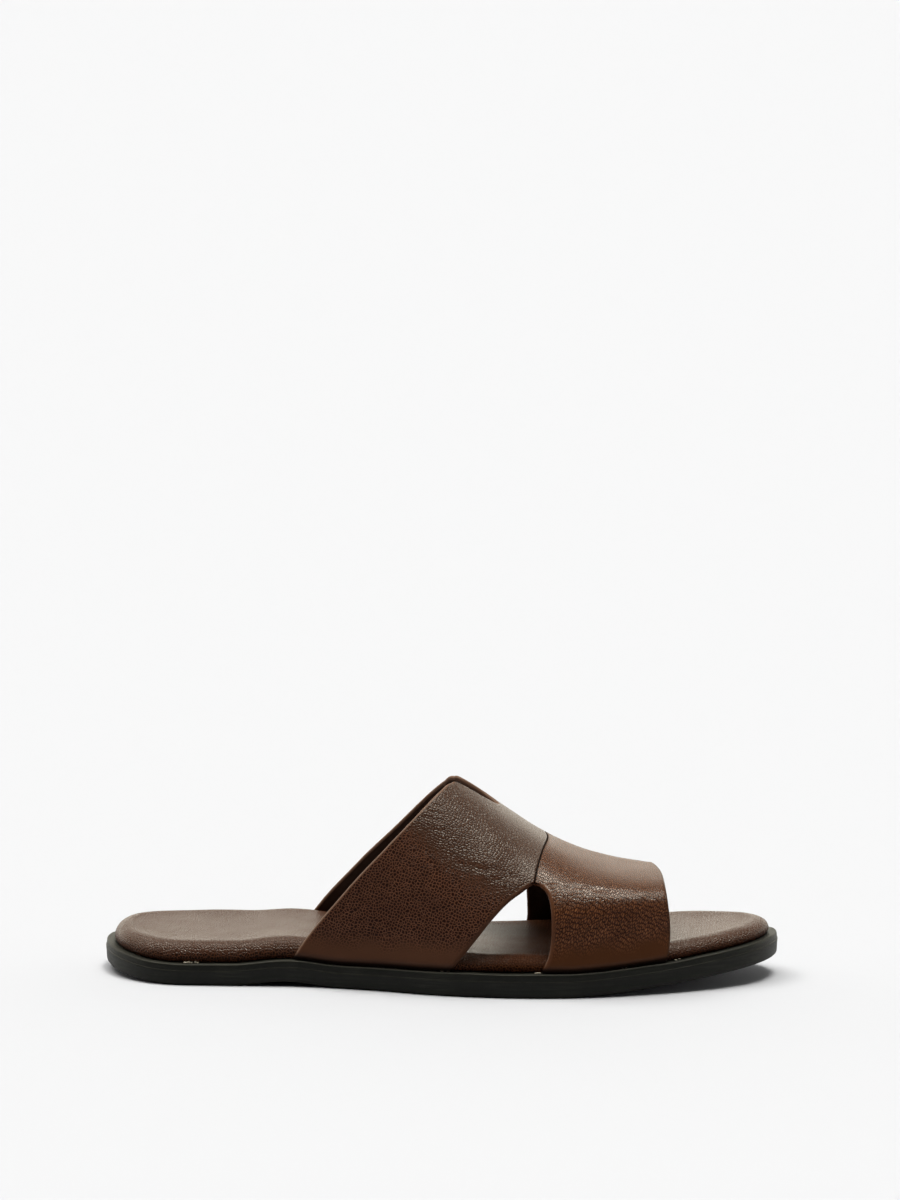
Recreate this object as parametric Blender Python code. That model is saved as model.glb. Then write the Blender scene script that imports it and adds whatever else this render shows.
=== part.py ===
"""Leather slide for the right foot: rubber outsole, padded footbed and a two-strap upper.

Sizes are millimetres.  x runs from the back of the heel to the toe, y from the outer side of the
foot (lateral, negative) to the inner side (medial, positive) and z up from the floor.  The meshes
are made in metres with the middle of the sole over the origin.
"""

import math
from collections import namedtuple

import bmesh
import bpy
import numpy as np

MM = 0.001
SOLE_LENGTH = 290.0
PIECE_GAP = 0.3

# Plan of the sole at its widest line
PlanRow = namedtuple("PlanRow", "x lateral medial")
HEEL_TIP_Y = 5.5
TOE_TIP_Y = 11.0
SOLE_PLAN = (
    PlanRow(x=9.0, lateral=-21.5, medial=27.5),
    PlanRow(x=28.0, lateral=-35.5, medial=36.0),
    PlanRow(x=55.0, lateral=-37.0, medial=37.0),
    PlanRow(x=88.0, lateral=-36.0, medial=33.0),
    PlanRow(x=120.0, lateral=-41.5, medial=35.0),
    PlanRow(x=150.0, lateral=-49.5, medial=41.5),
    PlanRow(x=185.0, lateral=-52.0, medial=50.0),
    PlanRow(x=212.0, lateral=-48.5, medial=52.0),
    PlanRow(x=240.0, lateral=-38.5, medial=49.0),
    PlanRow(x=264.0, lateral=-26.0, medial=41.5),
    PlanRow(x=282.0, lateral=-11.0, medial=29.0),
)

# Side view of the sole
HEEL_SPRING = 4.0
HEEL_SPRING_LENGTH = 38.0
ARCH_START = 58.0
ARCH_LENGTH = 50.0
ARCH_LIFT = 1.8
BALL_LINE = 205.0
TOE_SPRING = 9.2
TOE_SPRING_POWER = 1.25
ThicknessRow = namedtuple("ThicknessRow", "x thickness")
SOLE_THICKNESS = (
    ThicknessRow(x=0.0, thickness=9.0),
    ThicknessRow(x=60.0, thickness=9.2),
    ThicknessRow(x=130.0, thickness=9.9),
    ThicknessRow(x=200.0, thickness=10.2),
    ThicknessRow(x=250.0, thickness=9.6),
    ThicknessRow(x=290.0, thickness=9.4),
)

# Section of the sole's side: rise is the share of the thickness, inset is from the widest line
SideRow = namedtuple("SideRow", "rise inset")
SOLE_SIDE = (
    SideRow(rise=0.00, inset=1.0),
    SideRow(rise=0.07, inset=0.4),
    SideRow(rise=0.40, inset=0.2),
    SideRow(rise=0.66, inset=0.0),
    SideRow(rise=0.70, inset=0.0),
    SideRow(rise=0.73, inset=0.4),
    SideRow(rise=0.93, inset=0.4),
    SideRow(rise=1.00, inset=0.9),
)
RIM_WIDTH = 3.9

# Footbed: heights above the rim at its outer side, middle and inner side
FootbedRow = namedtuple("FootbedRow", "x lateral middle medial")
FOOTBED_EDGE_ROUND = 7.5
FOOTBED = (
    FootbedRow(x=0.0, lateral=8.2, middle=9.0, medial=10.6),
    FootbedRow(x=45.0, lateral=8.2, middle=9.2, medial=11.4),
    FootbedRow(x=85.0, lateral=8.4, middle=9.2, medial=11.5),
    FootbedRow(x=130.0, lateral=7.8, middle=7.4, medial=7.8),
    FootbedRow(x=170.0, lateral=7.2, middle=6.0, medial=5.4),
    FootbedRow(x=205.0, lateral=6.6, middle=6.0, medial=6.2),
    FootbedRow(x=246.0, lateral=6.8, middle=6.6, medial=7.8),
    FootbedRow(x=290.0, lateral=6.4, middle=6.4, medial=7.4),
)

# Last under the straps: ridge line along the instep, fullness of its shoulders, uprightness of its outer wall
LastRow = namedtuple("LastRow", "x ridge_y ridge_z lateral_power lateral_upright medial_power")
LAST = (
    LastRow(x=75.0, ridge_y=0.0, ridge_z=125.0, lateral_power=2.1, lateral_upright=2.1, medial_power=2.1),
    LastRow(x=110.0, ridge_y=0.0, ridge_z=107.0, lateral_power=2.1, lateral_upright=2.1, medial_power=2.1),
    LastRow(x=140.0, ridge_y=1.0, ridge_z=90.2, lateral_power=2.1, lateral_upright=2.1, medial_power=2.1),
    LastRow(x=152.0, ridge_y=3.0, ridge_z=83.4, lateral_power=2.1, lateral_upright=2.1, medial_power=2.1),
    LastRow(x=160.0, ridge_y=3.5, ridge_z=78.0, lateral_power=2.1, lateral_upright=2.1, medial_power=2.1),
    LastRow(x=169.0, ridge_y=4.0, ridge_z=71.5, lateral_power=2.2, lateral_upright=2.2, medial_power=2.2),
    LastRow(x=183.0, ridge_y=5.0, ridge_z=61.8, lateral_power=2.3, lateral_upright=2.3, medial_power=2.2),
    LastRow(x=200.0, ridge_y=6.0, ridge_z=52.8, lateral_power=2.5, lateral_upright=4.2, medial_power=2.3),
    LastRow(x=218.0, ridge_y=8.0, ridge_z=47.2, lateral_power=2.6, lateral_upright=8.5, medial_power=2.3),
    LastRow(x=235.0, ridge_y=9.0, ridge_z=44.6, lateral_power=2.7, lateral_upright=12.0, medial_power=2.3),
    LastRow(x=255.0, ridge_y=10.0, ridge_z=43.0, lateral_power=2.7, lateral_upright=13.0, medial_power=2.3),
)
STRAP_THICKNESS = 2.2
STRAP_FLARE = 2.2
STRAP_FLARE_HEIGHT = 13.0

# Strap edges as x at shares of the girth: -1 is the lateral rim, 0 the ridge, 1 the medial rim
EdgeRow = namedtuple("EdgeRow", "girth x")
COLLAR = (
    EdgeRow(girth=-1.000, x=85.4),
    EdgeRow(girth=-0.900, x=92.8),
    EdgeRow(girth=-0.700, x=109.6),
    EdgeRow(girth=-0.500, x=126.6),
    EdgeRow(girth=-0.350, x=137.8),
    EdgeRow(girth=-0.200, x=146.4),
    EdgeRow(girth=-0.120, x=150.0),
    EdgeRow(girth=-0.085, x=153.0),
    EdgeRow(girth=-0.068, x=160.0),
    EdgeRow(girth=-0.040, x=165.6),
    EdgeRow(girth=0.000, x=168.6),
    EdgeRow(girth=0.040, x=165.6),
    EdgeRow(girth=0.068, x=160.0),
    EdgeRow(girth=0.085, x=153.0),
    EdgeRow(girth=0.120, x=149.2),
    EdgeRow(girth=0.200, x=145.0),
    EdgeRow(girth=0.350, x=135.6),
    EdgeRow(girth=0.500, x=124.6),
    EdgeRow(girth=0.700, x=106.8),
    EdgeRow(girth=0.900, x=89.2),
    EdgeRow(girth=1.000, x=82.0),
)
SEAM = (
    EdgeRow(girth=-1.00, x=188.0),
    EdgeRow(girth=-0.54, x=188.5),
    EdgeRow(girth=-0.30, x=189.7),
    EdgeRow(girth=0.00, x=190.2),
    EdgeRow(girth=0.30, x=184.0),
    EdgeRow(girth=0.54, x=174.0),
    EdgeRow(girth=1.00, x=172.0),
)
TOE_EDGE = (
    EdgeRow(girth=-1.00, x=244.2),
    EdgeRow(girth=-0.85, x=245.1),
    EdgeRow(girth=-0.70, x=244.7),
    EdgeRow(girth=-0.60, x=243.8),
    EdgeRow(girth=-0.50, x=243.0),
    EdgeRow(girth=-0.40, x=242.3),
    EdgeRow(girth=-0.12, x=239.9),
    EdgeRow(girth=0.12, x=236.4),
    EdgeRow(girth=0.40, x=234.0),
    EdgeRow(girth=0.70, x=234.0),
    EdgeRow(girth=1.00, x=235.0),
)
SEAM_WIDTH = 1.6
SEAM_DEPTH = 1.0

# Cut-outs: drop is the share of the way from the cut-out's top to the rim, then x from the seam
CutRow = namedtuple("CutRow", "drop rear front")
LATERAL_CUT_TOP = 0.538
LATERAL_CUT = (
    CutRow(drop=0.00, rear=-0.8, front=0.8),
    CutRow(drop=0.05, rear=-2.3, front=3.4),
    CutRow(drop=0.12, rear=-4.9, front=5.7),
    CutRow(drop=0.25, rear=-10.1, front=7.4),
    CutRow(drop=0.45, rear=-16.4, front=8.2),
    CutRow(drop=0.65, rear=-22.3, front=8.0),
    CutRow(drop=0.85, rear=-28.5, front=6.7),
    CutRow(drop=1.00, rear=-33.5, front=4.2),
)
MEDIAL_CUT_TOP = 0.54
MEDIAL_CUT = (
    CutRow(drop=0.00, rear=-0.8, front=0.8),
    CutRow(drop=0.05, rear=-2.4, front=3.8),
    CutRow(drop=0.12, rear=-4.8, front=6.2),
    CutRow(drop=0.25, rear=-9.4, front=7.6),
    CutRow(drop=0.45, rear=-15.0, front=8.2),
    CutRow(drop=0.65, rear=-20.0, front=8.2),
    CutRow(drop=0.85, rear=-25.0, front=7.8),
    CutRow(drop=1.00, rear=-29.0, front=6.8),
)

# Mesh fineness
PLAN_POINTS = 96
SIDE_LOOKUP_POINTS = 768
SECTION_STEPS = 72
FOOTBED_EDGE_STEPS = 6
FOOTBED_ACROSS = 8
LEG_COLUMNS = 14
LEG_CROWDING = 1.7
CROWN_COLUMNS = 12
NOTCH_GIRTH = 0.12
NOTCH_COLUMNS = 6
REAR_ROWS = 12
FRONT_ROWS = 8

# Finishes
Finish = namedtuple("Finish", "colour roughness")
RUBBER = Finish(colour=(0.022, 0.023, 0.022, 1.0), roughness=0.6)
FOOTBED_LEATHER = Finish(colour=(0.115, 0.043, 0.021, 1.0), roughness=0.5)
UPPER_LEATHER = Finish(colour=(0.085, 0.032, 0.018, 1.0), roughness=0.45)
SMOOTH_UP_TO = math.radians(40)


def hermite(at, value, x):
    """Smooth curve through the points (at, value), read at x."""
    slope = np.gradient(value, at)
    x = np.clip(x, at[0], at[-1])
    i = np.clip(np.searchsorted(at, x, side="right") - 1, 0, len(at) - 2)
    span = at[i + 1] - at[i]
    t = (x - at[i]) / span
    start = value[i] * (1 + 2 * t) + slope[i] * span * t
    end = value[i + 1] * (3 - 2 * t) - slope[i + 1] * span * (1 - t)
    return start * (1 - t) ** 2 + end * t ** 2


def column(table, name):
    """One column of a table as an array."""
    return np.array([getattr(row, name) for row in table])


def read_table(table, key, name, x):
    """Smooth value of a table column at x along its key column."""
    return hermite(column(table, key), column(table, name), x)


def smooth_step(t):
    t = np.clip(t, 0.0, 1.0)
    return t * t * (3 - 2 * t)


def plan_angle(x):
    """Angle round the plan, 0 at the heel tip and pi at the toe tip."""
    return np.arccos(1 - 2 * np.asarray(x) / SOLE_LENGTH)


def plan_y(angle):
    """Sideways place of the plan's edge, the lateral side first."""
    rows = plan_angle(column(SOLE_PLAN, "x"))
    at = np.concatenate([[0.0], rows, [math.pi], 2 * math.pi - rows[::-1]])
    value = np.concatenate([
        [HEEL_TIP_Y], column(SOLE_PLAN, "lateral"), [TOE_TIP_Y], column(SOLE_PLAN, "medial")[::-1]])
    turn = 2 * math.pi
    at = np.concatenate([at[-2:] - turn, at, at[:3] + turn])
    value = np.concatenate([value[-2:], value, value[:3]])
    return hermite(at, value, np.mod(angle, turn))


def plan_ring(inset, count=PLAN_POINTS):
    """Points round the plan moved inwards, from the heel tip by the lateral side to the toe."""
    angle = np.arange(count) * 2 * math.pi / count
    step = 0.001
    along_x = SOLE_LENGTH / 2 * np.sin(angle)
    along_y = (plan_y(angle + step) - plan_y(angle - step)) / (2 * step)
    length = np.hypot(along_x, along_y)
    x = SOLE_LENGTH / 2 * (1 - np.cos(angle)) - inset * along_y / length
    y = plan_y(angle) + inset * along_x / length
    return x, y


def plan_sides(inset, x):
    """Lateral and medial y of the inset plan at x."""
    ring_x, ring_y = plan_ring(inset, SIDE_LOOKUP_POINTS)
    half = SIDE_LOOKUP_POINTS // 2
    lateral = np.interp(x, ring_x[:half + 1], ring_y[:half + 1])
    back = np.append(np.arange(half, SIDE_LOOKUP_POINTS), 0)[::-1]
    medial = np.interp(x, ring_x[back], ring_y[back])
    return lateral, medial


def sole_bottom(x):
    heel = HEEL_SPRING * np.clip(1 - x / HEEL_SPRING_LENGTH, 0, 1) ** 2
    arch = ARCH_LIFT * np.sin(math.pi * np.clip((x - ARCH_START) / ARCH_LENGTH, 0, 1)) ** 2
    ahead = np.clip((x - BALL_LINE) / (SOLE_LENGTH - BALL_LINE), 0, 1)
    return heel + arch + TOE_SPRING * ahead ** TOE_SPRING_POWER


def sole_thickness(x):
    return read_table(SOLE_THICKNESS, "x", "thickness", x)


def sole_top(x):
    return sole_bottom(x) + sole_thickness(x)


def footbed_height(x, y):
    """Height of the footbed's upper face above the rim."""
    lateral, medial = plan_sides(RIM_WIDTH, x)
    half = np.maximum((medial - lateral) / 2, FOOTBED_EDGE_ROUND)
    across = np.clip((y - (lateral + medial) / 2) / half, -1, 1)
    low = read_table(FOOTBED, "x", "lateral", x)
    middle = read_table(FOOTBED, "x", "middle", x)
    high = read_table(FOOTBED, "x", "medial", x)
    return middle + (high - low) / 2 * across + ((high + low) / 2 - middle) * across ** 2


def last_point(x, girth):
    """Points of the inside of the upper at x and a share of the girth."""
    lateral, medial = plan_sides(RIM_WIDTH - PIECE_GAP + STRAP_FLARE, x)
    outer_side = girth < 0
    wall = np.where(outer_side, lateral, medial)
    medial_power = read_table(LAST, "x", "medial_power", x)
    power = np.where(outer_side, read_table(LAST, "x", "lateral_power", x), medial_power)[:, None]
    upright = np.where(outer_side, read_table(LAST, "x", "lateral_upright", x), medial_power)[:, None]
    ridge_y = read_table(LAST, "x", "ridge_y", x)
    base = sole_top(x) + PIECE_GAP
    rise = read_table(LAST, "x", "ridge_z", x) - base
    turn = math.pi / 2 * np.linspace(0, 1, SECTION_STEPS + 1)[None, :] ** (upright / 2)
    z = base[:, None] + rise[:, None] * np.sin(turn) ** (2 / upright)
    inward = np.clip(np.cos(turn), 0, 1) ** (2 / power)
    flare = STRAP_FLARE * (1 - smooth_step((z - base[:, None]) / STRAP_FLARE_HEIGHT))
    y = ridge_y[:, None] + (wall - ridge_y)[:, None] * inward + np.sign(girth)[:, None] * flare
    run = np.hypot(np.diff(y, axis=1), np.diff(z, axis=1))
    length = np.concatenate([np.zeros((len(x), 1)), np.cumsum(run, axis=1)], axis=1)
    goal = (1 - np.abs(girth)) * length[:, -1]
    point_y = [np.interp(goal[k], length[k], y[k]) for k in range(len(x))]
    point_z = [np.interp(goal[k], length[k], z[k]) for k in range(len(x))]
    return np.stack([x, point_y, point_z], axis=1)


def last_normal(x, girth):
    """Outward directions of the inside of the upper."""
    step_x = 0.5
    step_girth = 0.004
    along = last_point(x + step_x, girth) - last_point(x - step_x, girth)
    low = np.clip(girth - step_girth, -1, 1)
    high = np.clip(girth + step_girth, -1, 1)
    around = last_point(x, high) - last_point(x, low)
    normal = np.cross(along, around)
    return normal / np.linalg.norm(normal, axis=1)[:, None]


def edge_x(table, girth):
    """x of a strap edge or seam at a share of the girth."""
    return read_table(table, "girth", "x", girth)


def cut_edges(girth):
    """x of the rear strap's front edge and of the front strap's rear edge."""
    rear = edge_x(SEAM, girth) - SEAM_WIDTH / 2
    front = edge_x(SEAM, girth) + SEAM_WIDTH / 2
    sides = ((girth < 0, LATERAL_CUT, LATERAL_CUT_TOP), (girth > 0, MEDIAL_CUT, MEDIAL_CUT_TOP))
    for side, table, top in sides:
        drop = (np.abs(girth) - top) / (1 - top)
        open_here = side & (drop > 0)
        root = np.sqrt(np.clip(drop, 0, 1))
        at = np.sqrt(column(table, "drop"))
        seam = edge_x(SEAM, girth)
        rear = np.where(open_here, seam + hermite(at, column(table, "rear"), root), rear)
        front = np.where(open_here, seam + hermite(at, column(table, "front"), root), front)
    return rear, front


def girth_columns():
    """Shares of the girth at the mesh columns, closer together at the tops of the cut-outs."""
    leg = np.linspace(0, 1, LEG_COLUMNS + 1) ** LEG_CROWDING
    lateral_leg = -LATERAL_CUT_TOP - (1 - LATERAL_CUT_TOP) * leg[::-1]
    medial_leg = MEDIAL_CUT_TOP + (1 - MEDIAL_CUT_TOP) * leg
    crown = np.concatenate([
        np.linspace(-LATERAL_CUT_TOP, -NOTCH_GIRTH, CROWN_COLUMNS)[1:],
        np.linspace(-NOTCH_GIRTH, NOTCH_GIRTH, 2 * NOTCH_COLUMNS + 1)[1:],
        np.linspace(NOTCH_GIRTH, MEDIAL_CUT_TOP, CROWN_COLUMNS)[1:-1],
    ])
    return np.concatenate([lateral_leg, crown, medial_leg])


def mesh_object(name, points, faces, finish):
    """Closed mesh object from points in millimetres, with its own plain material."""
    middle = np.array([SOLE_LENGTH / 2, 0.0, 0.0])
    mesh = bpy.data.meshes.new(name)
    mesh.from_pydata(((np.asarray(points) - middle) * MM).tolist(), [], faces)
    work = bmesh.new()
    work.from_mesh(mesh)
    bmesh.ops.recalc_face_normals(work, faces=work.faces)
    work.to_mesh(mesh)
    work.free()
    material = bpy.data.materials.new(name)
    material.use_nodes = True
    shader = material.node_tree.nodes["Principled BSDF"]
    shader.inputs["Base Color"].default_value = finish.colour
    shader.inputs["Roughness"].default_value = finish.roughness
    mesh.materials.append(material)
    mesh.shade_smooth()
    mesh.set_sharp_from_angle(angle=SMOOTH_UP_TO)
    thing = bpy.data.objects.new(name, mesh)
    bpy.context.scene.collection.objects.link(thing)
    return thing


def ring_faces(ring_count, size):
    """Quads between neighbouring rings of points."""
    faces = []
    for ring in range(ring_count - 1):
        for k in range(size):
            after = (k + 1) % size
            low = ring * size
            faces.append((low + k, low + after, low + size + after, low + size + k))
    return faces


def cap_faces(start, size):
    """Strips across a ring, from its heel tip to its toe tip."""
    half = size // 2
    faces = [(start, start + 1, start + size - 1)]
    for k in range(1, half - 1):
        faces.append((start + k, start + k + 1, start + size - k - 1, start + size - k))
    faces.append((start + half - 1, start + half, start + half + 1))
    return faces


def build_outsole():
    rings = []
    for row in SOLE_SIDE:
        x, y = plan_ring(row.inset)
        z = sole_bottom(x) + row.rise * sole_thickness(x)
        rings.append(np.stack([x, y, z], axis=1))
    faces = ring_faces(len(rings), PLAN_POINTS)
    faces += cap_faces(0, PLAN_POINTS)
    faces += cap_faces((len(rings) - 1) * PLAN_POINTS, PLAN_POINTS)
    return mesh_object("outsole", np.concatenate(rings), faces, RUBBER)


def build_footbed():
    rings = []
    for step in range(FOOTBED_EDGE_STEPS + 1):
        turn = math.pi / 2 * step / FOOTBED_EDGE_STEPS
        x, y = plan_ring(RIM_WIDTH + FOOTBED_EDGE_ROUND * (1 - math.cos(turn)))
        rise = PIECE_GAP + (footbed_height(x, y) - PIECE_GAP) * math.sin(turn)
        rings.append(np.stack([x, y, sole_top(x) + rise], axis=1))
    points = list(np.concatenate(rings))
    faces = ring_faces(len(rings), PLAN_POINTS)
    faces += cap_faces(0, PLAN_POINTS)
    edge = (len(rings) - 1) * PLAN_POINTS
    faces += top_faces(points, edge)
    return mesh_object("footbed", np.array(points), faces, FOOTBED_LEATHER)


def top_faces(points, edge):
    """Rows of faces across the footbed's upper face, adding their inner points."""
    half = PLAN_POINTS // 2
    rows = []
    for k in range(1, half):
        start = points[edge + k]
        end = points[edge + PLAN_POINTS - k]
        row = [edge + k]
        for j in range(1, FOOTBED_ACROSS):
            x, y, _ = start + (end - start) * j / FOOTBED_ACROSS
            z = sole_top(x) + footbed_height(x, y)
            row.append(len(points))
            points.append(np.array([x, y, float(z)]))
        row.append(edge + PLAN_POINTS - k)
        rows.append(row)
    faces = []
    for near, far in zip(rows, rows[1:]):
        for j in range(FOOTBED_ACROSS):
            faces.append((near[j], far[j], far[j + 1], near[j + 1]))
    for j in range(FOOTBED_ACROSS):
        faces.append((edge, rows[0][j], rows[0][j + 1]))
        faces.append((rows[-1][j], edge + half, rows[-1][j + 1]))
    return faces


def strap_sheet():
    """x and girth of the upper's sheet points, its faces and the points down in the seam."""
    girth = girth_columns()
    rear, front = cut_edges(girth)
    collar = edge_x(COLLAR, girth)
    toe = edge_x(TOE_EDGE, girth)
    seam = edge_x(SEAM, girth)
    sewn = (girth >= -LATERAL_CUT_TOP - 1e-9) & (girth <= MEDIAL_CUT_TOP + 1e-9)
    xs = []
    girths = []
    rows = []
    for k in range(len(girth)):
        places = list(collar[k] + (rear[k] - collar[k]) * np.linspace(0, 1, REAR_ROWS + 1))
        places.append(seam[k])
        places += list(front[k] + (toe[k] - front[k]) * np.linspace(0, 1, FRONT_ROWS + 1))
        rows.append([len(xs) + j for j in range(len(places))])
        xs += places
        girths += [girth[k]] * len(places)
    faces = []
    for k in range(len(girth) - 1):
        for j in range(len(rows[k]) - 1):
            in_seam = j in (REAR_ROWS, REAR_ROWS + 1)
            if in_seam and not (sewn[k] and sewn[k + 1]):
                continue
            faces.append((rows[k][j], rows[k][j + 1], rows[k + 1][j + 1], rows[k + 1][j]))
    groove = [rows[k][REAR_ROWS + 1] for k in range(len(girth)) if sewn[k]]
    return np.array(xs), np.array(girths), faces, groove


def build_upper():
    x, girth, faces, groove = strap_sheet()
    inner = last_point(x, girth)
    depth = np.full(len(x), STRAP_THICKNESS)
    depth[groove] -= SEAM_DEPTH
    outer = inner + last_normal(x, girth) * depth[:, None]
    count = len(x)
    used = {}
    for face in faces:
        for a, b in zip(face, face[1:] + face[:1]):
            used.setdefault((min(a, b), max(a, b)), []).append((a, b))
    shell = list(faces)
    shell += [tuple(k + count for k in reversed(face)) for face in faces]
    for directions in used.values():
        if len(directions) == 1:
            a, b = directions[0]
            shell.append((b, a, a + count, b + count))
    kept = sorted({k for face in shell for k in face})
    place = {k: i for i, k in enumerate(kept)}
    points = np.concatenate([outer, inner])[kept]
    shell = [tuple(place[k] for k in face) for face in shell]
    return mesh_object("upper", points, shell, UPPER_LEATHER)


for old in list(bpy.data.objects):
    bpy.data.objects.remove(old, do_unlink=True)
build_outsole()
build_footbed()
build_upper()
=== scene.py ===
"""Looks of the leather slide: rubber outsole, padded footbed, two grained straps, seam thread and glue.

Sizes are millimetres until a mesh is made.  x runs from the back of the heel to the toe, y from the
outer side of the foot (lateral, negative) to the inner side (medial, positive) and z up from the floor.
"""

import math
from collections import namedtuple

import bpy
import numpy as np
from mathutils import Matrix, Vector


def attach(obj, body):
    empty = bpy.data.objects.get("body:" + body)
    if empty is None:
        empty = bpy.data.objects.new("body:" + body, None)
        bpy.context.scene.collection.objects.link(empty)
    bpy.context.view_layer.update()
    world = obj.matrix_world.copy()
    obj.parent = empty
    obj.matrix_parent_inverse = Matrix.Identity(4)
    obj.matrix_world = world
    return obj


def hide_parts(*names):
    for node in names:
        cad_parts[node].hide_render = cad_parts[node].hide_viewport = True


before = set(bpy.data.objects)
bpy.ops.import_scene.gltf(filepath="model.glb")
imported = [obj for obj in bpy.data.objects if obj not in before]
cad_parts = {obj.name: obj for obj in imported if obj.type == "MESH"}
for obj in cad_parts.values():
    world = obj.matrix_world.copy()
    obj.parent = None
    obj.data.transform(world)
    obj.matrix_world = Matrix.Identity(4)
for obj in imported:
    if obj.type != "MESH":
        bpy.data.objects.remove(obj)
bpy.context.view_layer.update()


def table(columns, *rows):
    """Rows of values under named columns."""
    kind = namedtuple("Row", columns)
    return [kind(*row) for row in rows]


MM = 0.001
SOLE_LENGTH = 290.0
PIECE_GAP = 0.3

# Plan of the sole at its widest line
HEEL_TIP_Y = 5.5
TOE_TIP_Y = 11.0
SOLE_PLAN = table(
    "x lateral medial",
    (9.0, -21.5, 27.5),
    (28.0, -35.5, 36.0),
    (55.0, -37.0, 37.0),
    (88.0, -36.0, 33.0),
    (120.0, -41.5, 35.0),
    (150.0, -49.5, 41.5),
    (185.0, -52.0, 50.0),
    (212.0, -48.5, 52.0),
    (240.0, -38.5, 49.0),
    (264.0, -26.0, 41.5),
    (282.0, -11.0, 29.0),
)

# Side view of the sole
HEEL_SPRING = 4.0
HEEL_SPRING_LENGTH = 38.0
ARCH_START = 58.0
ARCH_LENGTH = 50.0
ARCH_LIFT = 1.8
BALL_LINE = 205.0
TOE_SPRING = 9.2
TOE_SPRING_POWER = 1.25
SOLE_THICKNESS = table(
    "x thickness",
    (0.0, 9.0),
    (60.0, 9.2),
    (130.0, 9.9),
    (200.0, 10.2),
    (250.0, 9.6),
    (290.0, 9.4),
)

# Section of the sole's side, finer than the solid's: rise is the share of the thickness
SOLE_SIDE = table(
    "rise inset",
    (0.000, 1.10),
    (0.012, 0.75),
    (0.045, 0.48),
    (0.100, 0.36),
    (0.200, 0.29),
    (0.300, 0.24),
    (0.400, 0.19),
    (0.500, 0.13),
    (0.600, 0.05),
    (0.655, 0.01),
    (0.675, 0.04),
    (0.690, 0.14),
    (0.700, 0.26),
    (0.712, 0.32),
    (0.730, 0.30),
    (0.780, 0.34),
    (0.860, 0.40),
    (0.920, 0.45),
    (0.960, 0.56),
    (0.985, 0.76),
    (0.997, 1.06),
    (1.000, 1.45),
)
RIM_WIDTH = 3.9
RIM_WAVE = 0.14
RIM_WAVE_LENGTH = 34.0
RIM_WAVE_FROM = 0.5
RIM_SEED = 3

# Footbed: its rolled edge and soft lip, its cup, the dull spot under the straps, and its soft waves
FOOTBED_EDGE_ROUND = 7.5
FOOTBED_TUCK = 0.7
FOOTBED_TUCK_HEIGHT = 1.6
FOOTBED_SIDE_LENGTH = 12.0
FOOTBED_LIP = 0.20
FOOTBED_LIP_WIDTH = 3.0
FOOTBED_CUP = 0.8
FOOTBED_CUP_AT = 174.0
FOOTBED_CUP_LENGTH = 34.0
FOOTBED_DULL = 0.82
FOOTBED_DULL_AT = 186.0
FOOTBED_DULL_LENGTH = 26.0
FOOTBED_RIPPLE = 0.09
FOOTBED_RIPPLE_LENGTH = 26.0
FOOTBED_SEED = 5

# Heights of the footbed above the rim at its outer side, middle and inner side
FOOTBED = table(
    "x lateral middle medial",
    (0.0, 7.6, 8.2, 9.6),
    (45.0, 8.2, 9.2, 11.9),
    (85.0, 8.4, 9.2, 11.5),
    (130.0, 7.8, 7.4, 7.8),
    (170.0, 7.2, 6.0, 5.4),
    (205.0, 6.6, 6.0, 6.2),
    (246.0, 6.8, 6.6, 7.8),
    (290.0, 6.4, 6.4, 7.4),
)

# Gathers of the footbed's cover where it is pulled round the two ends
GATHERS = table(
    "x_from x_to pitch slant depth",
    (244.0, 300.0, 2.3, 0.55, 0.17),
    (-20.0, 34.0, 2.6, -0.45, 0.10),
)
GATHER_FADE = 12.0
GATHER_HEIGHT = 7.0
GATHER_FALL = 0.7
GATHER_SWAYS = table("reach length", (0.9, 4.1), (0.5, 1.7))

# Last under the straps: its ridge along the instep, fullness of shoulders and uprightness of outer wall
LAST = table(
    "x ridge_y ridge_z lateral_power lateral_upright medial_power",
    (75.0, 0.0, 125.0, 2.1, 2.1, 2.1),
    (110.0, 0.0, 107.0, 2.1, 2.1, 2.1),
    (140.0, 1.0, 90.2, 2.1, 2.1, 2.1),
    (152.0, 3.0, 83.4, 2.1, 2.1, 2.1),
    (160.0, 3.5, 78.0, 2.1, 2.1, 2.1),
    (169.0, 4.0, 71.5, 2.2, 2.2, 2.2),
    (183.0, 5.0, 61.8, 2.3, 2.3, 2.2),
    (200.0, 6.0, 52.8, 2.5, 4.2, 2.3),
    (218.0, 8.0, 47.2, 2.6, 8.5, 2.3),
    (235.0, 9.0, 44.6, 2.7, 12.0, 2.3),
    (255.0, 10.0, 43.0, 2.7, 13.0, 2.3),
)
STRAP_THICKNESS = 2.2
STRAP_FLARE = 2.2
STRAP_FLARE_HEIGHT = 13.0

# Strap edges as x at shares of the girth: -1 is the lateral rim, 0 the ridge, 1 the medial rim
COLLAR = table(
    "girth x",
    (-1.000, 85.4),
    (-0.900, 92.8),
    (-0.700, 109.6),
    (-0.500, 126.6),
    (-0.350, 137.8),
    (-0.200, 146.4),
    (-0.120, 150.0),
    (-0.085, 153.0),
    (-0.068, 160.0),
    (-0.040, 165.6),
    (0.000, 168.6),
    (0.040, 165.6),
    (0.068, 160.0),
    (0.085, 153.0),
    (0.120, 149.2),
    (0.200, 145.0),
    (0.350, 135.6),
    (0.500, 124.6),
    (0.700, 106.8),
    (0.900, 89.2),
    (1.000, 82.0),
)
SEAM = table(
    "girth x",
    (-1.00, 188.0),
    (-0.54, 188.5),
    (-0.30, 189.7),
    (0.00, 190.2),
    (0.30, 184.0),
    (0.54, 174.0),
    (1.00, 172.0),
)
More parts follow.
